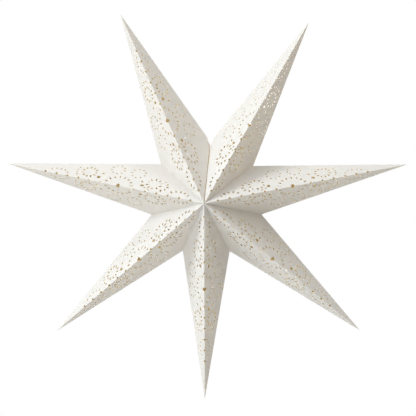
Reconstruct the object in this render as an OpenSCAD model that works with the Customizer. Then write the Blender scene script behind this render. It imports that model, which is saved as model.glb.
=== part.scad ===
/* [Star] */
// Diameter of the circle through the tips
star_d = 600; // [300:10:900]
// Depth from the front centre to the back centre
star_depth = 160; // [120:5:200]
// Distance from the axis to the valleys between the points
valley_r = 84.5; // [76:0.5:92]
// Thickness of the card
card_t = 0.5; // [0.4:0.05:0.8]

/* [Glue flaps] */
// Width of the flaps that glue one point to the next
flap_w = 10; // [8:0.5:12]
// Width of the lap that closes the back of each point
lap_w = 7; // [5:0.5:8]

/* [Perforations] */
// Diameter of the small dots
dot_d = 2.7; // [1.8:0.1:2.9]
// Diameter of the dots along the ridges
ridge_dot_d = 3.2; // [2:0.1:3.4]
// Diameter of the large dots
large_dot_d = 5.6; // [4:0.1:5.8]
// Length of a petal
petal_l = 5.2; // [3.6:0.1:5.4]
// Width of a petal
petal_w = 2.9; // [1.8:0.1:3]

/* [Closure] */
// Diameter of the hole for the cord, at the top valley
cord_hole_d = 10; // [7:0.5:12]
// Gap between the two end flaps, filled by the closure tapes
end_gap = 1; // [0.8:0.1:1.2]
// Length of each closure tape
tape_l = 26; // [16:1:30]
// Width of each closure tape
tape_w = 6.5; // [5:0.5:7]

/* [Hidden] */

paper = [0.95, 0.945, 0.93];
tape_white = [0.9, 0.9, 0.88];

// The star stands in the XZ plane and its front looks along -Y.
// Azimuths turn from +X towards +Z. The card was opened by hand, so they differ a little.
tip_az = [10, 60, 115, 170, 221.5, 269.5, 319.5];
valley_az = [-15.5, 35.5, 86, 142.5, 196, 245.5, 294, 344.5];
top_valley = 2;
right = 0;
upper_right = 1;
upper_left = 2;
left = 3;
lower_left = 4;
bottom = 5;
lower_right = 6;

half_depth = star_depth / 2;
tip_r = star_d / 2;
front = [0, -half_depth, 0];
back = [0, half_depth, 0];
// The punched pattern was drawn for a star of this diameter, and grows with the star.
pattern_star_d = 600;
k = star_d / pattern_star_d;
drill_h = 6 * card_t;

// The row of dots along a ridge: first place, spacing, count, and the ones that the large dot replaces.
ridge_first = 21;
ridge_pitch = 17.5;
ridge_count = 14;
ridge_skipped = [6, 7];
ridge_large_u = 133.5;

// Kinds of hole
DOT = 0;
PETAL = 1;
LARGE = 2;
// Arcs of holes on a panel: centre along the ridge and across it, radius,
// first and last angle, count, kind. Whole rings are closed_ring() rows.
function closed_ring(u, v, r, first, count, kind) =
    [u, v, r, first, first + 360 * (count - 1) / count, count, kind];
panel_arcs = [
    [41, -6, 20, 131, 51, 5, PETAL],
    [74, 18.5, 11, 112, 248, 5, PETAL],
    closed_ring(84, 20, 10.5, 14, 10, PETAL),
    [86, 19.5, 14.5, 279, 306, 2, DOT],
    [100, 11.8, 0, 0, 0, 1, LARGE],
    [103, 20.2, 0, 60, 60, 1, PETAL],
    closed_ring(115.3, 37.3, 10.5, 34, 9, DOT),
    [134, 0.5, 20.3, 164.5, 16.5, 8, PETAL],
    closed_ring(147, 36.8, 10, 20, 9, DOT),
    [164.2, 21, 0, 120, 120, 1, PETAL],
    [168, 11, 0, 0, 0, 1, LARGE],
    closed_ring(185, 18.8, 10.5, 13, 11, PETAL),
    [186, 17.5, 18, 328, 381, 4, DOT],
    [229, -5.5, 18.5, 135, 49, 5, DOT]
];

function polar(r, az) = [r * cos(az), 0, r * sin(az)];
function unit(a) = a / norm(a);
// Plane through three points as [normal, offset], with its normal turned away from a point inside
function plane(a, b, c, within) =
    let (n = unit(cross(b - a, c - a)))
    (within - a) * n < 0 ? [n, a * n] : [-n, -a * n];
function moved_in(pl, by) = [pl[0], pl[1] - by];
// Point where three planes meet, by Cramer's rule
function meet(p, q, r) =
    (p[1] * cross(q[0], r[0]) + q[1] * cross(r[0], p[0]) + r[1] * cross(p[0], q[0]))
    / (p[0] * cross(q[0], r[0]));

mid_plane = [[0, 1, 0], 0];

// Five-cornered solid: front, back, tip and the two valleys
module wedge(f, b, t, v_after, v_before) {
    polyhedron(
        points = [f, b, t, v_after, v_before],
        faces = [[0, 3, 2], [2, 3, 1], [1, 3, 0], [2, 4, 0], [1, 4, 2], [0, 4, 1]]
    );
}

// The four inner faces of a point, run on past the centre and the valleys
module inner_tent(t, v_after, v_before) {
    core = (t + v_after + v_before) / 4;
    face_after = moved_in(plane(front, t, v_after, core), card_t);
    face_before = moved_in(plane(front, t, v_before, core), card_t);
    tip_in = meet(face_after, face_before, mid_plane);
    ridge_end = tip_in + unit(front - t) * 1.3 * norm(front - t);
    after_end = tip_in + unit(v_after - t) * 1.4 * norm(v_after - t);
    before_end = tip_in + unit(v_before - t) * 1.4 * norm(v_before - t);
    wedge(ridge_end, [ridge_end.x, -ridge_end.y, ridge_end.z], tip_in, after_end, before_end);
}

// The space between two rays from the centre, each moved in by its own distance
module sector(az_before, az_after, in_before, in_after) {
    width = az_after - az_before;
    before = [cos(az_before), sin(az_before)];
    after = [cos(az_after), sin(az_after)];
    corner = (in_after * before + in_before * after) / sin(width);
    rotate([90, 0, 0])
        linear_extrude(2 * star_depth, center = true)
            polygon([corner, corner + star_d * before, corner + star_d * after]);
}

// Double cone that opens every glue flap towards the centre of the star
module light_window() {
    slope = norm([half_depth, valley_r]);
    window_y = half_depth - flap_w * slope / valley_r;
    window_r = valley_r - flap_w * slope / half_depth;
    rotate([-90, 0, 0])
        rotate_extrude($fn = 96)
            polygon([[0, -window_y], [window_r, 0], [0, window_y]]);
}

// Puts its children on a panel: X along the ridge from the centre, Y across it, Z out of the card
module on_panel(apex, t, v) {
    along = unit(t - apex);
    across = unit((v - apex) - ((v - apex) * along) * along);
    out = cross(along, across);
    multmatrix([
        [along.x, across.x, out.x, apex.x],
        [along.y, across.y, out.y, apex.y],
        [along.z, across.z, out.z, apex.z],
        [0, 0, 0, 1]
    ]) children();
}

module dot(d) {
    cylinder(d = d * k, h = drill_h, center = true, $fn = 24);
}

// A petal with two round sides and two points, that lies along its own X axis
module petal() {
    bow_r = (petal_l * petal_l + petal_w * petal_w) / (4 * petal_w) * k;
    off_axis = bow_r - petal_w * k / 2;
    intersection() {
        translate([0, off_axis, 0]) cylinder(r = bow_r, h = drill_h, center = true, $fn = 48);
        translate([0, -off_axis, 0]) cylinder(r = bow_r, h = drill_h, center = true, $fn = 48);
    }
}

// The punched pattern of one panel
module panel_holes() {
    for (a = panel_arcs) {
        step = a[5] > 1 ? (a[4] - a[3]) / (a[5] - 1) : 0;
        for (i = [0 : a[5] - 1]) {
            angle = a[3] + i * step;
            translate([(a[0] + a[2] * cos(angle)) * k, (a[1] + a[2] * sin(angle)) * k, 0])
                if (a[6] == PETAL) rotate([0, 0, angle]) petal();
                else if (a[6] == LARGE) dot(large_dot_d);
                else dot(dot_d);
        }
    }
}

// The row of dots along a ridge, drilled square to the fold
module ridge_holes(apex, t, v_after, v_before) {
    along = unit(t - apex);
    sideways = unit(unit(v_after - t) - unit(v_before - t));
    out = unit(cross(along, sideways));
    side = unit(cross(out, along));
    multmatrix([
        [along.x, side.x, out.x, apex.x],
        [along.y, side.y, out.y, apex.y],
        [along.z, side.z, out.z, apex.z],
        [0, 0, 0, 1]
    ]) {
        for (i = [0 : ridge_count - 1])
            if (len(search(i, ridge_skipped)) == 0)
                translate([(ridge_first + ridge_pitch * i) * k, 0, 0])
                    rotate([0, 0, 30])
                        cylinder(d = ridge_dot_d * k, h = 8 * k, center = true, $fn = 24);
        translate([ridge_large_u * k, 0, 0])
            rotate([0, 0, 30])
                cylinder(d = large_dot_d * k, h = 12 * k, center = true, $fn = 24);
    }
}

// The lap inside one back panel, where the sheet closes on itself along the back ridge
module back_lap(t, v) {
    side = norm(t - back);
    centre_end = 30 * k;
    tip_end = side - 30 * k;
    on_panel(back, t, v)
        translate([0, 0, -2 * card_t])
            linear_extrude(2 * card_t)
                polygon([
                    [centre_end, 2 * card_t],
                    [centre_end + lap_w, lap_w],
                    [tip_end - lap_w, lap_w],
                    [tip_end, 2 * card_t]
                ]);
}

// Round hole for the cord, from inside the star out through the top valley
module cord_hole() {
    rotate([0, -valley_az[top_valley], 0])
        rotate([0, 90, 0])
            rotate([0, 0, 30])
                translate([0, 0, valley_r / 2])
                    cylinder(d = cord_hole_d, h = valley_r, $fn = 48);
}

// Everything past one side of the gap at the top valley: the lower side (-1) or the upper one (1)
module beyond_gap(side) {
    reach = 3 * flap_w;
    rotate([0, -valley_az[top_valley], 0])
        translate([-flap_w, -star_depth, side < 0 ? -reach : -end_gap / 2])
            cube([star_d / 2, 2 * star_depth, reach + end_gap / 2]);
}

// The card of one point before it is pierced: four panels, and flaps round an open middle
module folded_sheet(i, t, v_after, v_before, gap_before, gap_after) {
    difference() {
        difference() {
            wedge(front, back, t, v_after, v_before);
            if (gap_before + gap_after > 0) beyond_gap(gap_before > 0 ? -1 : 1);
        }
        intersection() {
            inner_tent(t, v_after, v_before);
            sector(valley_az[i], valley_az[i + 1], card_t + gap_before, card_t + gap_after);
        }
        light_window();
    }
}

// One point of the star: a single sheet, folded along its ridges and its outer edges
module point(i) {
    t = polar(tip_r, tip_az[i]);
    v_before = polar(valley_r, valley_az[i]);
    v_after = polar(valley_r, valley_az[i + 1]);
    gap_before = i == top_valley ? end_gap / 2 : 0;
    gap_after = i + 1 == top_valley ? end_gap / 2 : 0;
    is_end = gap_before + gap_after > 0;
    color(paper)
        difference() {
            union() {
                difference() {
                    folded_sheet(i, t, v_after, v_before, gap_before, gap_after);
                    if (is_end) cord_hole();
                }
                back_lap(t, v_before);
            }
            for (apex = [front, back]) {
                for (v = [v_after, v_before]) on_panel(apex, t, v) panel_holes();
                ridge_holes(apex, t, v_after, v_before);
            }
        }
}

// One strip of hook and loop tape between the two end flaps.
// It lies along the front flap (-1) or the back one (1), on the lower side (-1) or the upper one (1).
module closure_tape(along_flap, lower_or_upper) {
    edge = unit([valley_r, half_depth]);
    middle = [valley_r / 2 - edge.y * flap_w / 2, half_depth / 2 - edge.x * flap_w / 2];
    tape_t = end_gap / 2;
    color(tape_white)
        rotate([0, -valley_az[top_valley], 0])
            translate([middle.x, along_flap * middle.y, lower_or_upper * tape_t / 2])
                rotate([0, 0, -along_flap * atan2(half_depth, valley_r)])
                    cube([tape_l, tape_w, tape_t], center = true);
}

point(right);  // point_right
point(upper_right);  // point_upper_right
point(upper_left);  // point_upper_left
point(left);  // point_left
point(lower_left);  // point_lower_left
point(bottom);  // point_bottom
point(lower_right);  // point_lower_right
closure_tape(-1, -1);  // hook_tape_front
closure_tape(-1, 1);  // loop_tape_front
closure_tape(1, -1);  // hook_tape_back
closure_tape(1, 1);  // loop_tape_back
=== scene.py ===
"""Paper star lampshade: folded white card points, pierced with rosettes, hanging in a pale studio."""

import logging
import math
from dataclasses import dataclass, field
from enum import Enum

import bmesh
import bpy
import numpy as np
from mathutils import Matrix, Vector

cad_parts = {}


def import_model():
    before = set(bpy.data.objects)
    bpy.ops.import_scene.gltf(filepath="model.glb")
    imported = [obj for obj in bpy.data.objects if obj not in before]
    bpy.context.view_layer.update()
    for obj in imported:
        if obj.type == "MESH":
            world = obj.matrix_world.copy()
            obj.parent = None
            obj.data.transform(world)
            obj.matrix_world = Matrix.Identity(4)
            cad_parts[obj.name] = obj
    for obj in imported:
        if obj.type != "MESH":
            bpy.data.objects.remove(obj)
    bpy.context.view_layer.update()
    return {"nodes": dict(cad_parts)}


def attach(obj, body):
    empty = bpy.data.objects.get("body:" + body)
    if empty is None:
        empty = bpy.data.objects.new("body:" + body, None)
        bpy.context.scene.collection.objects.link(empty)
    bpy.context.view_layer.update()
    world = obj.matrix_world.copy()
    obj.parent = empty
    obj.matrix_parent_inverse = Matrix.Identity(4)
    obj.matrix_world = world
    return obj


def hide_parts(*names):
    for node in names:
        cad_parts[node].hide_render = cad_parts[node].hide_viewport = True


LOG = logging.getLogger("paper_star")
Colour = tuple[float, float, float]
Place = tuple[float, float, float]
Edge = tuple[Vector, Vector]
Socket = bpy.types.NodeSocket

# Metres in a millimetre, the unit of every size of the star.
MM = 0.001
# The face attribute that marks the card's inner side, which the material paints golden tan as a painted
# warm glow of the light inside the star.
INNER_SIDE = "lining"
# A face belongs to the inner side when its plane passes the star's middle closer than this, in metres.
INNER_SIDE_REACH = 0.03
# The space between a lap and the panel that it lies under.
LAP_CLEARANCE = 0.1
# How far a lap stays off its ridge.
LAP_START = 1.8
# The product a * b * (1 - a - b), which gives a panel its bow, peaks at one in this many.
BOW_PEAK = 27
# Two normals lie in one plane when their dot product reaches this.
SAME_PLANE = 0.9999
# Folds sharper than this many degrees are shown as creases.
CREASE = 28.0
# The cord's punch: its sides, and its length as a share of the valley's radius.
NOTCH_SIDES = 48
NOTCH_SHARE = 0.4
# How much of the mottling goes into the height of the fibres.
MOTTLE_HEIGHT = 0.35


class Slot(Enum):
    """The record's material slots."""

    CARD = "card"
    TAPE = "tape"


@dataclass(frozen=True)
class CardFinish:
    """Matt white card that lets a little warm light through, its inner faces tinted golden tan as a
    painted warm glow.
    """

    outside: Colour = (0.90, 0.90, 0.90)
    # inside: golden tan on the inner faces, a painted warm glow of the light inside the star.
    inside: Colour = (0.90, 0.78, 0.52)
    glow: Colour = (0.97, 0.89, 0.70)
    through_outside: float = 0.30
    through_inside: float = 0.60
    roughness: float = 0.82
    gloss: float = 0.2
    fibre_scale: float = 1400.0
    mottle_scale: float = 140.0
    mottle: float = 0.035
    bump: float = 0.25
    bump_height: float = 0.00006


@dataclass(frozen=True)
class TapeFinish:
    """White woven tape with a napped face."""

    light: Colour = (0.86, 0.86, 0.84)
    dark: Colour = (0.66, 0.66, 0.63)
    roughness: float = 0.9
    thread_scale: float = 900.0
    fibre_scale: float = 3000.0
    mottle_scale: float = 500.0
    bump: float = 0.6
    bump_height: float = 0.00015


@dataclass(frozen=True)
class LampSpec:
    """One soft studio lamp."""

    name: str
    place: Place
    size: float
    power: float
    tint: Colour = (1.0, 1.0, 1.0)


class NodeKit:
    """Short calls for building a node tree."""

    def __init__(self, tree: bpy.types.NodeTree) -> None:
        """Keeps the tree that the nodes go into.

        Args:
            tree: The node tree.
        """
        self.tree = tree

    def add(self, kind: str, **values: object) -> bpy.types.Node:
        """Adds one node.

        Args:
            kind: The node's class name.
            values: Attributes of the node, or inputs named with a leading underscore.

        Returns:
            The new node.
        """
        node = self.tree.nodes.new(kind)
        for key, value in values.items():
            if key.startswith("_"):
                node.inputs[key[1:].replace("_", " ")].default_value = value
            else:
                setattr(node, key, value)
        return node

    def link(self, source: Socket, target: Socket) -> None:
        """Joins an output to an input.

        Args:
            source: The output.
            target: The input.
        """
        self.tree.links.new(source, target)


def rgba(colour: Colour) -> tuple[float, float, float, float]:
    """Gives a colour an alpha of one.

    Args:
        colour: The colour.

    Returns:
        The colour with its alpha.
    """
    return (*colour, 1.0)


def link_object(mesh: bpy.types.Mesh) -> bpy.types.Object:
    """Puts a mesh into the scene as an object of the same name.

    Args:
        mesh: The mesh.

    Returns:
        The new object.
    """
    made = bpy.data.objects.new(mesh.name, mesh)
    bpy.context.scene.collection.objects.link(made)
    return made


def new_material(name: str) -> tuple[bpy.types.Material, NodeKit]:
    """Makes an empty material.

    Args:
        name: The material's name.

    Returns:
        The material and a kit for its node tree.
    """
    material = bpy.data.materials.new(name)
    material.use_nodes = True
    material.node_tree.nodes.clear()
    return material, NodeKit(material.node_tree)


class HoleKind(Enum):
    """The shapes that are punched into the card."""

    DOT = 0
    PETAL = 1
    LARGE = 2
    RIDGE = 3
    RIDGE_LARGE = 4


@dataclass(frozen=True)
class HoleArc:
    """Holes set round a centre on a panel, in millimetres along the ridge and across it."""

    along: float
    across: float
    radius: float
    first: float
    last: float
    count: int
    kind: HoleKind

    @classmethod
    def ring(
        cls, along: float, across: float, radius: float, first: float, count: int, kind: HoleKind
    ) -> "HoleArc":
        """Makes a whole ring of evenly spaced holes.

        Args:
            along: The centre's place along the ridge.
            across: The centre's place across the panel.
            radius: The ring's radius.
            first: The first hole's angle in degrees.
            count: How many holes the ring has.
            kind: The kind of hole.

        Returns:
            The ring.
        """
        return cls(along, across, radius, first, first + 360 * (count - 1) / count, count, kind)

    @classmethod
    def single(cls, along: float, across: float, kind: HoleKind, turn: float = 0.0) -> "HoleArc":
        """Makes one hole.

        Args:
            along: The hole's place along the ridge.
            across: The hole's place across the panel.
            kind: The kind of hole.
            turn: The hole's turn in degrees.

        Returns:
            The hole, as an arc of one.
        """
        return cls(along, across, 0.0, turn, turn, 1, kind)

    def places(self) -> list[tuple[float, float, float]]:
        """Lists the arc's holes.

        Returns:
            For each hole, its place along and across the panel and its turn in radians.
        """
        step = (self.last - self.first) / max(self.count - 1, 1)
        turns = [math.radians(self.first + step * i) for i in range(self.count)]
        reach = self.radius
        return [(self.along + reach * math.cos(t), self.across + reach * math.sin(t), t) for t in turns]


@dataclass(frozen=True)
class PunchedPattern:
    """The rosettes on a panel and the row along a ridge, in millimetres."""

    dot: float = 2.7
    ridge_dot: float = 3.2
    large: float = 5.6
    petal_length: float = 5.2
    petal_width: float = 2.9
    panel_reach: float = 6.0
    ridge_reach: float = 11.0
    ridge_first: float = 21.0
    ridge_pitch: float = 17.5
    ridge_count: int = 14
    ridge_skipped: tuple[int, ...] = (6, 7)
    ridge_large: float = 133.5
    arcs: tuple[HoleArc, ...] = (
        HoleArc(41, -6, 20, 131, 51, 5, HoleKind.PETAL),
        HoleArc(74, 18.5, 11, 112, 248, 5, HoleKind.PETAL),
        HoleArc.ring(84, 20, 10.5, 14, 10, HoleKind.PETAL),
        HoleArc(86, 19.5, 14.5, 279, 306, 2, HoleKind.DOT),
        HoleArc.single(100, 11.8, HoleKind.LARGE),
        HoleArc.single(103, 20.2, HoleKind.PETAL, 60),
        HoleArc.ring(115.3, 37.3, 10.5, 34, 9, HoleKind.DOT),
        HoleArc(134, 0.5, 20.3, 164.5, 16.5, 8, HoleKind.PETAL),
        HoleArc.ring(147, 36.8, 10, 20, 9, HoleKind.DOT),
        HoleArc.single(164.2, 21, HoleKind.PETAL, 120),
        HoleArc.single(168, 11, HoleKind.LARGE),
        HoleArc.ring(185, 18.8, 10.5, 13, 11, HoleKind.PETAL),
        HoleArc(186, 17.5, 18, 328, 381, 4, HoleKind.DOT),
        HoleArc(229, -5.5, 18.5, 135, 49, 5, HoleKind.DOT),
    )

    def ridge_places(self) -> list[tuple[float, HoleKind]]:
        """Lists the holes along a ridge.

        Returns:
            For each hole, its distance from the star's middle and its kind.
        """
        row = [
            (self.ridge_first + self.ridge_pitch * i, HoleKind.RIDGE)
            for i in range(self.ridge_count)
            if i not in self.ridge_skipped
        ]
        return [*row, (self.ridge_large, HoleKind.RIDGE_LARGE)]


@dataclass(frozen=True)
class StarForm:
    """The folded star's own sizes, in millimetres and degrees."""

    tip_radius: float = 300.0
    valley_radius: float = 84.5
    half_depth: float = 80.0
    card: float = 0.5
    flap: float = 10.0
    end_gap: float = 1.0
    cord_hole: float = 10.0
    lap: float = 7.0
    lap_first: float = 21.0
    lap_last: float = 266.0
    lap_slant: float = 14.0
    steps: int = 36
    bow: float = 0.4

    @property
    def window_reach(self) -> float:
        """How far from the axis the flaps' free edges meet at mid-depth."""
        slope = math.hypot(self.half_depth, self.valley_radius) / self.half_depth
        return self.valley_radius - self.flap * slope

    @property
    def window_depth(self) -> float:
        """How far from mid-depth the flaps' free edges meet on the axis."""
        return self.window_reach * self.half_depth / self.valley_radius


class SheetMesh:
    """Gathers the outer side of a folded sheet and gives it its thickness."""

    def __init__(self, card: float) -> None:
        """Starts an empty sheet.

        Args:
            card: The card's thickness in millimetres.
        """
        self.card = card
        self.points: list[Vector] = []
        self.bowed: list[Vector] = []
        self.planes: list[list[Vector]] = []
        self.index: dict[tuple[int, int, int], int] = {}
        self.faces: list[tuple[int, ...]] = []

    def point(self, place: Vector, normal: Vector, lift: float = 0.0) -> int:
        """Finds or adds a corner, and notes the plane that it lies in.

        Args:
            place: The corner's place on the flat sheet.
            normal: The outward normal of its plane.
            lift: How far the bow lifts it off that plane.

        Returns:
            The corner's number.
        """
        key = (round(place.x * 1e3), round(place.y * 1e3), round(place.z * 1e3))
        if key not in self.index:
            self.index[key] = len(self.points)
            self.points.append(place.copy())
            self.bowed.append(place + normal * lift)
            self.planes.append([])
        found = self.index[key]
        if all(normal.dot(known) < SAME_PLANE for known in self.planes[found]):
            self.planes[found].append(normal)
        return found

    def face(self, corners: list[int], normal: Vector) -> None:
        """Adds a face that looks outward, unless it has shrunk to a line.

        Args:
            corners: The face's corners, in either direction.
            normal: The outward normal of its plane.
        """
        kept = [c for i, c in enumerate(corners) if c != corners[i - 1]]
        if len(set(kept)) < 3:
            return
        first, second, third = (self.points[kept[i]] for i in (0, 1, 2))
        turned = (second - first).cross(third - first).dot(normal) < 0
        self.faces.append(tuple(reversed(kept)) if turned else tuple(kept))

    def panel(
        self, apex: Vector, tip: Vector, valley: Vector, normal: Vector, steps: int, bow: float
    ) -> None:
        """Adds a triangular panel as a fine grid with a slight bow.

        Args:
            apex: The panel's corner at the star's middle.
            tip: The panel's corner at the point's tip.
            valley: The panel's corner at the valley.
            normal: The outward normal.
            steps: How many cells lie along each edge.
            bow: How far the panel's middle bulges.
        """
        rows: list[list[int]] = []
        for i in range(steps + 1):
            row: list[int] = []
            for j in range(steps + 1 - i):
                a, b = i / steps, j / steps
                if j == 0:
                    place = apex.lerp(tip, a)
                elif i == 0:
                    place = apex.lerp(valley, b)
                elif i + j == steps:
                    place = tip.lerp(valley, b)
                else:
                    place = apex + (tip - apex) * a + (valley - apex) * b
                row.append(self.point(place, normal, BOW_PEAK * bow * a * b * (1 - a - b)))
            rows.append(row)
        for i in range(steps):
            for j in range(steps - i):
                self.face([rows[i][j], rows[i + 1][j], rows[i][j + 1]], normal)
                if j < steps - i - 1:
                    self.face([rows[i + 1][j], rows[i + 1][j + 1], rows[i][j + 1]], normal)

    def strip(self, first: Edge, second: Edge, normal: Vector, steps: int) -> None:
        """Adds a flat strip between two edges.

        Args:
            first: The ends of one edge.
            second: The ends of the other edge, in the same direction.
            normal: The outward normal.
            steps: How many cells lie along the strip.
        """
        pairs = []
        for i in range(steps + 1):
            share = i / steps
            pairs.append([self.point(a.lerp(b, share), normal) for a, b in (first, second)])
        for (a, b), (c, d) in zip(pairs, pairs[1:]):
            self.face([a, b, c], normal)
            self.face([b, d, c], normal)

    def inner_place(self, number: int) -> Vector:
        """Finds where a corner lies on the sheet's inner side.

        Args:
            number: The corner's number.

        Returns:
            The place that is one thickness inside each of the corner's planes.
        """
        normals = np.array([tuple(n) for n in self.planes[number]])
        shift = np.linalg.lstsq(normals, np.full(len(normals), -self.card), rcond=None)[0]
        return self.bowed[number] + Vector(shift)

    def closed(self) -> tuple[list[Vector], list[tuple[int, ...]]]:
        """Closes the sheet with its inner side and its cut edge.

        Returns:
            The corners and the faces of the closed sheet.
        """
        count = len(self.points)
        corners = [*self.bowed, *(self.inner_place(i) for i in range(count))]
        faces = [*self.faces, *(tuple(count + c for c in reversed(f)) for f in self.faces)]
        once: set[tuple[int, int]] = set()
        for face in self.faces:
            for a, b in zip(face, (*face[1:], face[0])):
                if (b, a) in once:
                    once.remove((b, a))
                else:
                    once.add((a, b))
        faces += [(b, a, count + a, count + b) for a, b in sorted(once)]
        return corners, faces


@dataclass(frozen=True)
class StarPoint:
    """One point of the star: a sheet folded along two ridges and two outer edges, with glue flaps."""

    name: str
    tip_turn: float
    turn_before: float
    turn_after: float
    form: StarForm
    open_side: int = 0
    bows: tuple[float, float, float, float] = (1.0, 0.8, 1.0, 0.8)

    @staticmethod
    def polar(radius: float, degrees: float) -> Vector:
        """Gives a place in the star's middle plane.

        Args:
            radius: The distance from the axis.
            degrees: The direction, turned from +X towards +Z.

        Returns:
            The place.
        """
        turn = math.radians(degrees)
        return Vector((radius * math.cos(turn), 0.0, radius * math.sin(turn)))

    @property
    def tip(self) -> Vector:
        """The point's tip."""
        return self.polar(self.form.tip_radius, self.tip_turn)

    def valley(self, side: int) -> Vector:
        """Gives the outer end of a valley.

        Args:
            side: -1 for the valley before the point, 1 for the one after it.

        Returns:
            The place.
        """
        return self.polar(self.form.valley_radius, self.turn_after if side > 0 else self.turn_before)

    def flap_normal(self, side: int) -> Vector:
        """Gives the outward normal of the flaps on one side.

        Args:
            side: -1 before the point, 1 after it.

        Returns:
            The normal.
        """
        across = self.valley(side).cross(Vector((0.0, 1.0, 0.0))).normalized()
        return across if across.dot(self.tip) < 0 else -across

    def panel_normal(self, face: int, side: int) -> Vector:
        """Gives a panel's outward normal.

        Args:
            face: -1 for the front, 1 for the back.
            side: -1 before the point, 1 after it.

        Returns:
            The normal.
        """
        apex = Vector((0.0, face * self.form.half_depth, 0.0))
        normal = (self.tip - apex).cross(self.valley(side) - apex).normalized()
        return normal if normal.y * face > 0 else -normal

    def base_mesh(self) -> bpy.types.Mesh:
        """Builds the closed sheet, before its holes are punched.

        Returns:
            The sheet's mesh, in metres.
        """
        form, sheet = self.form, SheetMesh(self.form.card)
        near = self.open_side or -1
        far = -near
        gap = form.end_gap / 2 if self.open_side else 0.0
        near_out, far_out = self.flap_normal(near), self.flap_normal(far)
        tip, far_valley = self.tip, self.valley(far)

        def set_back(start: Vector, end: Vector) -> Vector:
            """Moves the start of an edge along it until it is half the end gap inside the open side.

            Args:
                start: The end that moves.
                end: The end that stays.

            Returns:
                The new start.
            """
            rise = -near_out.dot(end - start)
            return start + (end - start) * ((gap + near_out.dot(start)) / rise if gap else 0.0)

        near_valley = set_back(self.valley(near), tip)
        for face in (-1, 1):
            apex = Vector((0.0, face * form.half_depth, 0.0))
            ridge_end = set_back(apex, tip)
            far_end = set_back(apex, far_valley)
            share = 1 - (far_end - apex).xz.length / form.window_reach
            corner = Vector((far_end.x, face * form.window_depth * share, far_end.z))
            for side, valley in ((near, near_valley), (far, far_valley)):
                bow = form.bow * self.bows[1 + face + (side + 1) // 2]
                sheet.panel(ridge_end, tip, valley, self.panel_normal(face, side), form.steps, bow)
            far_normal = self.panel_normal(face, far)
            sheet.strip((ridge_end, far_valley), (far_end, far_valley), far_normal, form.steps)
            near_window = near_valley * (form.window_reach / form.valley_radius)
            near_window -= near_out * (gap + near_out.dot(near_window))
            far_window = far_valley * (form.window_reach / form.valley_radius)
            sheet.strip((ridge_end, near_valley), (corner, near_window), near_out, form.steps)
            sheet.strip((ridge_end, ridge_end), (far_end, corner), near_out, 1)
            sheet.strip((far_end, far_valley), (corner, far_window), far_out, form.steps)
        corners, faces = sheet.closed()
        mesh = bpy.data.meshes.new(self.name)
        self.add_lap(corners, faces)
        mesh.from_pydata([c * MM for c in corners], [], faces)
        return mesh

    def add_lap(self, corners: list[Vector], faces: list[tuple[int, ...]]) -> None:
        """Adds the lap that closes the sheet inside its back panel.

        Args:
            corners: The sheet's corners, which the lap's are added to.
            faces: The sheet's faces, which the lap's are added to.
        """
        form = self.form
        apex = Vector((0.0, form.half_depth, 0.0))
        ridge = (self.tip - apex).normalized()
        reach = self.valley(-1) - apex
        across = (reach - ridge * reach.dot(ridge)).normalized()
        outward = self.panel_normal(1, -1)
        first = len(corners)
        outline = (
            (form.lap_first, LAP_START),
            (form.lap_last, LAP_START),
            (form.lap_last - form.lap_slant, form.lap),
            (form.lap_first, form.lap),
        )
        for depth in (form.card + LAP_CLEARANCE, 2 * form.card):
            for u, v in outline:
                corners.append(apex + ridge * u + across * v - outward * depth)
        sides = [(i, (i + 1) % 4, (i + 1) % 4 + 4, i + 4) for i in range(4)]
        block = [(3, 2, 1, 0), (4, 5, 6, 7), *sides]
        if ridge.cross(across).dot(outward) > 0:
            block = [tuple(reversed(face)) for face in block]
        faces += [tuple(first + c for c in face) for face in block]

    def hole_places(self, pattern: PunchedPattern) -> bpy.types.Object:
        """Marks where the sheet is punched.

        Args:
            pattern: The pattern of one panel and of a ridge.

        Returns:
            An object with one loose vertex for each hole, which carries its kind and its turn.
        """
        places: list[Vector] = []
        kinds: list[int] = []
        turns: list[Vector] = []

        def mark(place: Vector, long_way: Vector, outward: Vector, kind: HoleKind) -> None:
            """Adds one hole.

            Args:
                place: Its middle, in millimetres.
                long_way: The direction of its length.
                outward: The direction that it is punched along.
                kind: The kind of hole.
            """
            across = outward.cross(long_way)
            places.append(place * MM)
            kinds.append(kind.value)
            turns.append(Vector(Matrix((long_way, across, outward)).transposed().to_euler()))

        for face in (-1, 1):
            apex = Vector((0.0, face * self.form.half_depth, 0.0))
            ridge = (self.tip - apex).normalized()
            for side in (-1, 1):
                outward = self.panel_normal(face, side)
                reach = self.valley(side) - apex
                across = (reach - ridge * reach.dot(ridge)).normalized()
                for arc in pattern.arcs:
                    for u, v, turn in arc.places():
                        long_way = ridge * math.cos(turn) + across * math.sin(turn)
                        mark(apex + ridge * u + across * v, long_way, outward, arc.kind)
            out_of_ridge = (self.panel_normal(face, -1) + self.panel_normal(face, 1)).normalized()
            for u, kind in pattern.ridge_places():
                mark(apex + ridge * u, ridge, out_of_ridge, kind)
        mesh = bpy.data.meshes.new(self.name + "_places")
        mesh.from_pydata(places, [], [])
        mesh.attributes.new("kind", "INT", "POINT").data.foreach_set("value", kinds)
        angles = [angle for turn in turns for angle in turn]
        mesh.attributes.new("turn", "FLOAT_VECTOR", "POINT").data.foreach_set("vector", angles)
        return link_object(mesh)

    def cord_notch(self) -> bpy.types.Object:
        """Makes the round punch that cuts half of the cord's hole out of the open side.

        Returns:
            The punch, along the valley.
        """
        along = self.valley(self.open_side).normalized()
        turn = along.to_track_quat("Z", "Y").to_matrix().to_4x4()
        mesh = bpy.data.meshes.new(self.name + "_notch")
        shape = bmesh.new()
        reach = self.form.valley_radius
        place = Matrix.Translation(along * reach * MM) @ turn
        radius = self.form.cord_hole / 2 * MM
        bmesh.ops.create_cone(
            shape,
            cap_ends=True,
            segments=NOTCH_SIDES,
            radius1=radius,
            radius2=radius,
            depth=reach * NOTCH_SHARE * MM,
            matrix=place,
        )
        shape.to_mesh(mesh)
        shape.free()
        return link_object(mesh)

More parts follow.
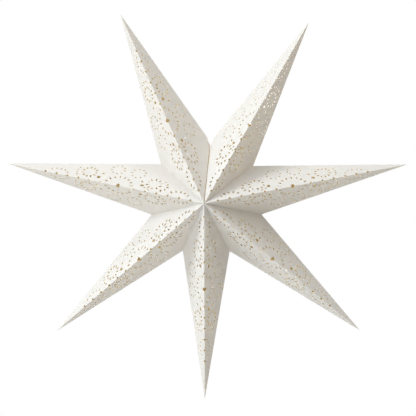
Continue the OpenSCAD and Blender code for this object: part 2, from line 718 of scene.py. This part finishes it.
    def build(self, tree: "PunchTree", pattern: PunchedPattern) -> bpy.types.Object:
        """Builds the point, punches its holes and hands it to the frame.

        Args:
            tree: The geometry nodes that punch the holes.
            pattern: The pattern of the holes.

        Returns:
            The finished piece.
        """
        piece = link_object(self.base_mesh())
        piece.data.materials.append(tree.material)
        helpers = [self.hole_places(pattern)]
        if self.open_side:
            helpers.append(self.cord_notch())
        tree.apply(piece, *helpers)
        for helper in helpers:
            bpy.data.objects.remove(helper)
        piece.data.set_sharp_from_angle(angle=math.radians(CREASE))
        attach(piece, "root")
        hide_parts(self.name.replace("folded_", ""))
        return piece


class PunchTree:
    """The geometry nodes that punch the pattern through a folded sheet."""

    def __init__(self, pattern: PunchedPattern, material: bpy.types.Material) -> None:
        """Builds the tree once, for every point of the star.

        Args:
            pattern: The sizes of the holes.
            material: The card's material.
        """
        self.material = material
        self.tree = bpy.data.node_groups.new("punch_holes", "GeometryNodeTree")
        self.kit = NodeKit(self.tree)
        self.inputs: dict[str, str] = {}
        self.add_input("Sheet", "NodeSocketGeometry")
        self.add_input("Hole places", "NodeSocketObject")
        self.add_input("Cord notch", "NodeSocketObject")
        self.add_input("Dot diameter", "NodeSocketFloat", pattern.dot * MM)
        self.add_input("Petal length", "NodeSocketFloat", pattern.petal_length * MM)
        self.add_input("Petal width", "NodeSocketFloat", pattern.petal_width * MM)
        self.add_input("Large diameter", "NodeSocketFloat", pattern.large * MM)
        self.add_input("Ridge dot diameter", "NodeSocketFloat", pattern.ridge_dot * MM)
        self.add_input("Panel reach", "NodeSocketFloat", pattern.panel_reach * MM)
        self.add_input("Ridge reach", "NodeSocketFloat", pattern.ridge_reach * MM)
        self.add_input("Smallest size", "NodeSocketFloat", 0.95)
        self.add_input("Largest size", "NodeSocketFloat", 1.05)
        self.add_input("Seed", "NodeSocketInt", 7)
        self.add_input("Material", "NodeSocketMaterial", material)
        self.tree.interface.new_socket(name="Sheet", in_out="OUTPUT", socket_type="NodeSocketGeometry")
        self.source = self.kit.add("NodeGroupInput")
        self.lay_out()

    def add_input(self, name: str, kind: str, value: object = None) -> None:
        """Adds a named input and keeps its identifier.

        Args:
            name: The input's name.
            kind: The socket's class name.
            value: Its default, or None.
        """
        made = self.tree.interface.new_socket(name=name, in_out="INPUT", socket_type=kind)
        if value is not None:
            made.default_value = value
        self.inputs[name] = made.identifier

    def lay_out(self) -> None:
        """Lays out the nodes: punches on their places, one cut, the inner side's mask and the material.
        """
        kit = self.kit
        places = kit.add("GeometryNodeObjectInfo")
        kit.link(self.source.outputs["Hole places"], places.inputs["Object"])
        notch = kit.add("GeometryNodeObjectInfo")
        kit.link(self.source.outputs["Cord notch"], notch.inputs["Object"])
        turn = kit.add("GeometryNodeInputNamedAttribute", data_type="FLOAT_VECTOR", _Name="turn")
        rotation = kit.add("FunctionNodeEulerToRotation")
        kit.link(turn.outputs["Attribute"], rotation.inputs["Euler"])
        cutters = kit.add("GeometryNodeJoinGeometry")
        kit.link(notch.outputs["Geometry"], cutters.inputs[0])
        for kind, sides, sizes in (
            (HoleKind.DOT, 12, ("Dot diameter", "Dot diameter", "Panel reach")),
            (HoleKind.PETAL, 12, ("Petal length", "Petal width", "Panel reach")),
            (HoleKind.LARGE, 20, ("Large diameter", "Large diameter", "Panel reach")),
            (HoleKind.RIDGE, 14, ("Ridge dot diameter", "Ridge dot diameter", "Ridge reach")),
            (HoleKind.RIDGE_LARGE, 20, ("Large diameter", "Large diameter", "Ridge reach")),
        ):
            punch = self.punch(sides, kind is HoleKind.PETAL)
            kit.link(self.placed(kind, punch, sizes, places, rotation), cutters.inputs[0])
        loose = kit.add("GeometryNodeRealizeInstances")
        kit.link(cutters.outputs[0], loose.inputs[0])
        cut = kit.add("GeometryNodeMeshBoolean", operation="DIFFERENCE", solver="MANIFOLD")
        kit.link(self.source.outputs["Sheet"], cut.inputs["Mesh 1"])
        kit.link(loose.outputs[0], cut.inputs["Mesh 2"])
        realized = kit.add("GeometryNodeRealizeInstances")
        kit.link(self.mark_inner_side(cut.outputs[0]), realized.inputs[0])
        dressed = kit.add("GeometryNodeSetMaterial")
        kit.link(realized.outputs[0], dressed.inputs["Geometry"])
        kit.link(self.source.outputs["Material"], dressed.inputs["Material"])
        kit.link(dressed.outputs[0], kit.add("NodeGroupOutput").inputs[0])

    def punch(self, sides: int, pointed: bool) -> Socket:
        """Adds a punch of unit size.

        Args:
            sides: How many sides it has.
            pointed: Whether it is drawn out into a petal with two points.

        Returns:
            The socket that carries the punch.
        """
        kit = self.kit
        punch = kit.add("GeometryNodeMeshCylinder", _Vertices=sides, _Radius=0.5, _Depth=1.0)
        if not pointed:
            return punch.outputs["Mesh"]
        place = kit.add("ShaderNodeSeparateXYZ")
        kit.link(kit.add("GeometryNodeInputPosition").outputs[0], place.inputs[0])
        width = kit.add("ShaderNodeMath", operation="ABSOLUTE")
        kit.link(place.outputs["Y"], width.inputs[0])
        doubled = kit.add("ShaderNodeMath", operation="MULTIPLY")
        doubled.inputs[1].default_value = 2.0
        kit.link(width.outputs[0], doubled.inputs[0])
        drawn = kit.add("ShaderNodeMath", operation="MULTIPLY")
        kit.link(place.outputs["Y"], drawn.inputs[0])
        kit.link(doubled.outputs[0], drawn.inputs[1])
        whole = kit.add("ShaderNodeCombineXYZ")
        kit.link(place.outputs["X"], whole.inputs["X"])
        kit.link(drawn.outputs[0], whole.inputs["Y"])
        kit.link(place.outputs["Z"], whole.inputs["Z"])
        moved = kit.add("GeometryNodeSetPosition")
        kit.link(punch.outputs["Mesh"], moved.inputs["Geometry"])
        kit.link(whole.outputs[0], moved.inputs["Position"])
        return moved.outputs[0]

    def placed(
        self,
        kind: HoleKind,
        punch: Socket,
        sizes: tuple[str, str, str],
        places: bpy.types.Node,
        rotation: bpy.types.Node,
    ) -> Socket:
        """Sets a punch on every place of its kind.

        Args:
            kind: The kind of hole.
            punch: The socket that carries the punch.
            sizes: The inputs that give its length, width and depth.
            places: The node that gives the places.
            rotation: The node that gives each punch its turn.

        Returns:
            The socket that carries the punches.
        """
        kit = self.kit
        marked = kit.add("GeometryNodeInputNamedAttribute", data_type="INT", _Name="kind")
        chosen = kit.add("FunctionNodeCompare", data_type="INT", operation="EQUAL")
        kit.link(marked.outputs["Attribute"], chosen.inputs[2])
        chosen.inputs[3].default_value = kind.value
        size = kit.add("ShaderNodeCombineXYZ")
        for axis, name in enumerate(sizes):
            kit.link(self.source.outputs[name], size.inputs[axis])
        spread = kit.add("FunctionNodeRandomValue", data_type="FLOAT")
        kit.link(self.source.outputs["Smallest size"], spread.inputs[2])
        kit.link(self.source.outputs["Largest size"], spread.inputs[3])
        kit.link(self.source.outputs["Seed"], spread.inputs["Seed"])
        scaled = kit.add("ShaderNodeVectorMath", operation="SCALE")
        kit.link(size.outputs[0], scaled.inputs[0])
        kit.link(spread.outputs[1], scaled.inputs["Scale"])
        copies = kit.add("GeometryNodeInstanceOnPoints")
        kit.link(places.outputs["Geometry"], copies.inputs["Points"])
        kit.link(chosen.outputs[0], copies.inputs["Selection"])
        kit.link(punch, copies.inputs["Instance"])
        kit.link(rotation.outputs[0], copies.inputs["Rotation"])
        kit.link(scaled.outputs[0], copies.inputs["Scale"])
        return copies.outputs[0]

    def mark_inner_side(self, sheet: Socket) -> Socket:
        """Stores which faces look into the star, which the card's material paints golden tan as a
        painted warm glow.

        Args:
            sheet: The socket that carries the punched sheet.

        Returns:
            The socket that carries the marked sheet.
        """
        kit = self.kit
        inward = kit.add("ShaderNodeVectorMath", operation="DOT_PRODUCT")
        kit.link(kit.add("GeometryNodeInputPosition").outputs[0], inward.inputs[0])
        kit.link(kit.add("GeometryNodeInputNormal").outputs[0], inward.inputs[1])
        hidden = kit.add("ShaderNodeMath", operation="LESS_THAN")
        hidden.inputs[1].default_value = INNER_SIDE_REACH
        kit.link(inward.outputs["Value"], hidden.inputs[0])
        store = kit.add("GeometryNodeStoreNamedAttribute", data_type="FLOAT", domain="FACE")
        store.inputs["Name"].default_value = INNER_SIDE
        kit.link(sheet, store.inputs["Geometry"])
        kit.link(hidden.outputs[0], store.inputs["Value"])
        return store.outputs[0]

    def apply(
        self, piece: bpy.types.Object, places: bpy.types.Object, notch: bpy.types.Object | None = None
    ) -> None:
        """Punches a sheet and keeps the result as its plain mesh.

        Args:
            piece: The sheet.
            places: The object that marks its holes.
            notch: The punch for the cord's hole, or None.
        """
        modifier = piece.modifiers.new("punch", "NODES")
        modifier.node_group = self.tree
        modifier[self.inputs["Hole places"]] = places
        modifier[self.inputs["Cord notch"]] = notch
        graph = bpy.context.evaluated_depsgraph_get()
        mesh = bpy.data.meshes.new_from_object(piece.evaluated_get(graph), depsgraph=graph)
        piece.modifiers.clear()
        mesh.name = piece.data.name
        piece.data = mesh


@dataclass(frozen=True)
class Star:
    """The whole star: where its points and valleys lie, opened by hand and so not quite even."""

    tips: dict[str, float] = field(default_factory=lambda: {
        "right": 10.0,
        "upper_right": 60.0,
        "upper_left": 115.0,
        "left": 170.0,
        "lower_left": 221.5,
        "bottom": 269.5,
        "lower_right": 319.5,
    })
    valleys: tuple[float, ...] = (-15.5, 35.5, 86.0, 142.5, 196.0, 245.5, 294.0, 344.5)
    open_sides: dict[str, int] = field(default_factory=lambda: {"upper_right": 1, "upper_left": -1})

    def points(self) -> list[StarPoint]:
        """Lists the star's points.

        Returns:
            The points, in the order in which they are joined.
        """
        form = StarForm()
        return [
            StarPoint(f"folded_point_{name}", turn, before, after, form, self.open_sides.get(name, 0))
            for (name, turn), before, after in zip(self.tips.items(), self.valleys, self.valleys[1:])
        ]


class FibreGrain:
    """The node group that gives card and tape their fine fibres and soft mottling."""

    def __init__(self) -> None:
        """Builds the group."""
        self.tree = bpy.data.node_groups.new("fibre_grain", "ShaderNodeTree")
        face = self.tree.interface
        face.new_socket(name="Vector", in_out="INPUT", socket_type="NodeSocketVector")
        face.new_socket(name="Fibre scale", in_out="INPUT", socket_type="NodeSocketFloat")
        face.new_socket(name="Mottle scale", in_out="INPUT", socket_type="NodeSocketFloat")
        face.new_socket(name="Mottle", in_out="OUTPUT", socket_type="NodeSocketFloat")
        face.new_socket(name="Height", in_out="OUTPUT", socket_type="NodeSocketFloat")
        kit = NodeKit(self.tree)
        source = kit.add("NodeGroupInput")
        target = kit.add("NodeGroupOutput")
        cloud = kit.add("ShaderNodeTexNoise", _Detail=3.0, _Roughness=0.55)
        kit.link(source.outputs["Vector"], cloud.inputs["Vector"])
        kit.link(source.outputs["Mottle scale"], cloud.inputs["Scale"])
        fibre = kit.add("ShaderNodeTexNoise", _Detail=4.0, _Roughness=0.65, _Distortion=1.2)
        kit.link(source.outputs["Vector"], fibre.inputs["Vector"])
        kit.link(source.outputs["Fibre scale"], fibre.inputs["Scale"])
        height = kit.add("ShaderNodeMath", operation="MULTIPLY_ADD")
        height.inputs[1].default_value = MOTTLE_HEIGHT
        kit.link(cloud.outputs["Fac"], height.inputs[0])
        kit.link(fibre.outputs["Fac"], height.inputs[2])
        kit.link(cloud.outputs["Fac"], target.inputs["Mottle"])
        kit.link(height.outputs[0], target.inputs["Height"])

    def place(self, kit: NodeKit, fibre_scale: float, mottle_scale: float) -> bpy.types.Node:
        """Sets the group into a material, on the object's own coordinates.

        Args:
            fibre_scale: How fine the fibres are, per metre.
            mottle_scale: How fine the mottling is, per metre.

        Returns:
            The group's node.
        """
        group = kit.add("ShaderNodeGroup", node_tree=self.tree)
        group.inputs["Fibre scale"].default_value = fibre_scale
        group.inputs["Mottle scale"].default_value = mottle_scale
        kit.link(kit.add("ShaderNodeTexCoord").outputs["Object"], group.inputs["Vector"])
        return group


class CardMaterial:
    """Builds the card's material from its finish."""

    def __init__(self, finish: CardFinish, grain: FibreGrain) -> None:
        """Keeps the finish and the shared grain.

        Args:
            finish: The finish's values.
            grain: The shared group of fibres and mottling.
        """
        self.finish = finish
        self.grain = grain

    def build(self) -> bpy.types.Material:
        """Makes the material.

        Returns:
            The card's material.
        """
        material, kit = new_material("white_card")
        look = self.finish
        out = kit.add("ShaderNodeOutputMaterial")
        grain = self.grain.place(kit, look.fibre_scale, look.mottle_scale)
        # The inner faces take the golden tan, a painted warm glow of the light inside the star, and let
        # more light through.
        hidden = kit.add("ShaderNodeAttribute", attribute_name=INNER_SIDE)
        colour = kit.add("ShaderNodeMix", data_type="RGBA")
        colour.inputs[6].default_value = rgba(look.outside)
        colour.inputs[7].default_value = rgba(look.inside)
        kit.link(hidden.outputs["Fac"], colour.inputs[0])
        tone = kit.add("ShaderNodeMapRange")
        tone.inputs["From Min"].default_value = 0.3
        tone.inputs["From Max"].default_value = 0.7
        tone.inputs["To Min"].default_value = 1.0 - look.mottle
        tone.inputs["To Max"].default_value = 1.0
        kit.link(grain.outputs["Mottle"], tone.inputs["Value"])
        mottled = kit.add("ShaderNodeVectorMath", operation="SCALE")
        kit.link(colour.outputs[2], mottled.inputs[0])
        kit.link(tone.outputs[0], mottled.inputs["Scale"])
        bump = kit.add("ShaderNodeBump", _Strength=look.bump, _Distance=look.bump_height)
        kit.link(grain.outputs["Height"], bump.inputs["Height"])
        card = kit.add("ShaderNodeBsdfPrincipled", _Roughness=look.roughness)
        card.inputs["Specular IOR Level"].default_value = look.gloss
        kit.link(mottled.outputs[0], card.inputs["Base Color"])
        kit.link(bump.outputs[0], card.inputs["Normal"])
        glow = kit.add("ShaderNodeBsdfTranslucent", _Color=rgba(look.glow))
        share = kit.add("ShaderNodeMix", data_type="FLOAT")
        share.inputs[2].default_value = look.through_outside
        share.inputs[3].default_value = look.through_inside
        kit.link(hidden.outputs["Fac"], share.inputs[0])
        mix = kit.add("ShaderNodeMixShader")
        kit.link(share.outputs[0], mix.inputs[0])
        kit.link(card.outputs[0], mix.inputs[1])
        kit.link(glow.outputs[0], mix.inputs[2])
        kit.link(mix.outputs[0], out.inputs["Surface"])
        return material


class TapeMaterial:
    """Builds the closure tapes' material from its finish."""

    def __init__(self, finish: TapeFinish, grain: FibreGrain) -> None:
        """Keeps the finish and the shared grain.

        Args:
            finish: The finish's values.
            grain: The shared group of fibres and mottling.
        """
        self.finish = finish
        self.grain = grain

    def build(self) -> bpy.types.Material:
        """Makes the material.

        Returns:
            The tape's material.
        """
        material, kit = new_material("woven_tape")
        look = self.finish
        out = kit.add("ShaderNodeOutputMaterial")
        grain = self.grain.place(kit, look.fibre_scale, look.mottle_scale)
        place = kit.add("ShaderNodeTexCoord")
        threads = []
        for direction in ("X", "Z"):
            wave = kit.add("ShaderNodeTexWave", bands_direction=direction, _Distortion=0.6)
            wave.inputs["Scale"].default_value = look.thread_scale
            kit.link(place.outputs["Object"], wave.inputs["Vector"])
            threads.append(wave)
        woven = kit.add("ShaderNodeMath", operation="MAXIMUM")
        kit.link(threads[0].outputs["Fac"], woven.inputs[0])
        kit.link(threads[1].outputs["Fac"], woven.inputs[1])
        colour = kit.add("ShaderNodeMix", data_type="RGBA")
        colour.inputs[6].default_value = rgba(look.dark)
        colour.inputs[7].default_value = rgba(look.light)
        kit.link(woven.outputs[0], colour.inputs[0])
        height = kit.add("ShaderNodeMath", operation="ADD")
        kit.link(woven.outputs[0], height.inputs[0])
        kit.link(grain.outputs["Height"], height.inputs[1])
        bump = kit.add("ShaderNodeBump", _Strength=look.bump, _Distance=look.bump_height)
        kit.link(height.outputs[0], bump.inputs["Height"])
        tape = kit.add("ShaderNodeBsdfPrincipled", _Roughness=look.roughness)
        kit.link(colour.outputs[2], tape.inputs["Base Color"])
        kit.link(bump.outputs[0], tape.inputs["Normal"])
        kit.link(tape.outputs[0], out.inputs["Surface"])
        return material


@dataclass
class Studio:
    """The pale floor, the white surround, the soft lamps and the camera."""

    eye: Place = (0.094, -2.170, 0.163)
    yaw: float = -2.42
    pitch: float = -4.64
    lens: float = 127.56
    floor_z: float = -0.9
    floor_size: float = 8.0
    floor_colour: Colour = (0.82, 0.81, 0.79)
    fade: tuple[float, float] = (1.1, 2.4)
    least_white: float = 0.7
    ambient: Colour = (0.92, 0.97, 1.0)
    ambient_strength: float = 0.37
    lamps: list[LampSpec] = field(default_factory=lambda: [
        LampSpec("key_lamp", (-2.2, -1.6, 1.9), 1.2, 71.0, (0.93, 0.97, 1.0)),
        LampSpec("top_lamp", (0.2, -0.8, 2.8), 1.2, 17.5, (0.85, 0.93, 1.0)),
        LampSpec("front_left_lamp", (-1.7, -2.6, 0.6), 1.2, 7.0, (0.7, 0.9, 1.0)),
        LampSpec("top_right_lamp", (1.9, -1.4, 2.2), 1.2, 14.0, (1.0, 1.0, 0.96)),
        LampSpec("low_left_lamp", (-0.9, -0.8, -0.6), 1.2, 4.8, (0.9, 0.96, 1.0)),
    ])

    def build(self) -> None:
        """Builds the whole studio."""
        self.build_camera()
        self.build_floor()
        self.build_world()
        for lamp in self.lamps:
            self.build_lamp(lamp)

    def build_camera(self) -> None:
        """Places the camera at the photograph's viewing angle."""
        data = bpy.data.cameras.new("studio_camera")
        data.sensor_width = 36.0
        data.lens = self.lens
        camera = bpy.data.objects.new("studio_camera", data)
        yaw, pitch = math.radians(self.yaw), math.radians(self.pitch)
        level = math.cos(pitch)
        forward = Vector((math.sin(yaw) * level, math.cos(yaw) * level, math.sin(pitch)))
        camera.location = self.eye
        camera.rotation_mode = "QUATERNION"
        camera.rotation_quaternion = forward.to_track_quat("-Z", "Y")
        bpy.context.scene.collection.objects.link(camera)
        bpy.context.scene.camera = camera

    def build_floor(self) -> None:
        """Lays the pale floor, which fades to white away from the star and its shadow."""
        half = self.floor_size / 2
        mesh = bpy.data.meshes.new("floor")
        corners = [(x * half, y * half, 0.0) for x, y in ((-1, -1), (1, -1), (1, 1), (-1, 1))]
        mesh.from_pydata(corners, [], [(0, 1, 2, 3)])
        floor = bpy.data.objects.new("floor", mesh)
        floor.location.z = self.floor_z
        material, kit = new_material("pale_floor")
        out = kit.add("ShaderNodeOutputMaterial")
        paint = kit.add("ShaderNodeBsdfDiffuse", _Color=rgba(self.floor_colour))
        white = kit.add("ShaderNodeEmission")
        seen = self.seen_directly(kit)
        far = kit.add("ShaderNodeVectorMath", operation="LENGTH")
        kit.link(kit.add("ShaderNodeTexCoord").outputs["Object"], far.inputs[0])
        fade = kit.add("ShaderNodeMapRange", interpolation_type="SMOOTHSTEP")
        fade.inputs["From Min"].default_value, fade.inputs["From Max"].default_value = self.fade
        fade.inputs["To Min"].default_value = self.least_white
        kit.link(far.outputs["Value"], fade.inputs["Value"])
        share = kit.add("ShaderNodeMath", operation="MULTIPLY")
        kit.link(seen, share.inputs[0])
        kit.link(fade.outputs[0], share.inputs[1])
        mix = kit.add("ShaderNodeMixShader")
        kit.link(share.outputs[0], mix.inputs[0])
        kit.link(paint.outputs[0], mix.inputs[1])
        kit.link(white.outputs[0], mix.inputs[2])
        kit.link(mix.outputs[0], out.inputs["Surface"])
        mesh.materials.append(material)
        bpy.context.scene.collection.objects.link(floor)

    @staticmethod
    def seen_directly(kit: NodeKit) -> Socket:
        """Adds a mask of the rays that show the surround.


        Returns:
            The mask's output.
        """
        path = kit.add("ShaderNodeLightPath")
        mirrored = kit.add("ShaderNodeMath", operation="MAXIMUM")
        kit.link(path.outputs["Is Camera Ray"], mirrored.inputs[0])
        kit.link(path.outputs["Is Glossy Ray"], mirrored.inputs[1])
        either = kit.add("ShaderNodeMath", operation="MAXIMUM")
        kit.link(mirrored.outputs[0], either.inputs[0])
        kit.link(path.outputs["Is Transmission Ray"], either.inputs[1])
        return either.outputs[0]

    def build_world(self) -> None:
        """Makes the white surround and its soft, slightly warm light."""
        world = bpy.data.worlds.new("surround")
        world.use_nodes = True
        world.node_tree.nodes.clear()
        kit = NodeKit(world.node_tree)
        out = kit.add("ShaderNodeOutputWorld")
        white = kit.add("ShaderNodeBackground", _Color=(1.0, 1.0, 1.0, 1.0), _Strength=1.0)
        soft = kit.add("ShaderNodeBackground", _Color=rgba(self.ambient))
        soft.inputs["Strength"].default_value = self.ambient_strength
        mix = kit.add("ShaderNodeMixShader")
        kit.link(self.seen_directly(kit), mix.inputs[0])
        kit.link(soft.outputs[0], mix.inputs[1])
        kit.link(white.outputs[0], mix.inputs[2])
        kit.link(mix.outputs[0], out.inputs["Surface"])
        bpy.context.scene.world = world

    @staticmethod
    def build_lamp(spec: LampSpec) -> None:
        """Hangs one soft lamp that looks at the star.

        Args:
            spec: The lamp's place, size and power.
        """
        data = bpy.data.lights.new(spec.name, "AREA")
        data.shape = "DISK"
        data.size = spec.size
        data.energy = spec.power
        data.color = spec.tint
        lamp = bpy.data.objects.new(spec.name, data)
        lamp.location = spec.place
        lamp.rotation_mode = "QUATERNION"
        lamp.rotation_quaternion = (-Vector(spec.place)).to_track_quat("-Z", "Y")
        bpy.context.scene.collection.objects.link(lamp)


def main() -> None:
    """Builds the star and the studio in order."""
    logging.basicConfig(level=logging.INFO, format="%(name)s: %(message)s")
    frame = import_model()
    bpy.context.scene.view_settings.view_transform = "Standard"
    grain = FibreGrain()
    card = CardMaterial(CardFinish(), grain).build()
    tape = TapeMaterial(TapeFinish(), grain).build()
    for name, node in frame["nodes"].items():
        if "tape" in name:
            node.data.materials.clear()
            node.data.materials.append(tape)
            LOG.info("dressed %s", name)
    pattern = PunchedPattern()
    tree = PunchTree(pattern, card)
    for point in Star().points():
        piece = point.build(tree, pattern)
        LOG.info("built %s with %d faces", piece.name, len(piece.data.polygons))
    Studio().build()


if __name__ == "__main__":
    main()
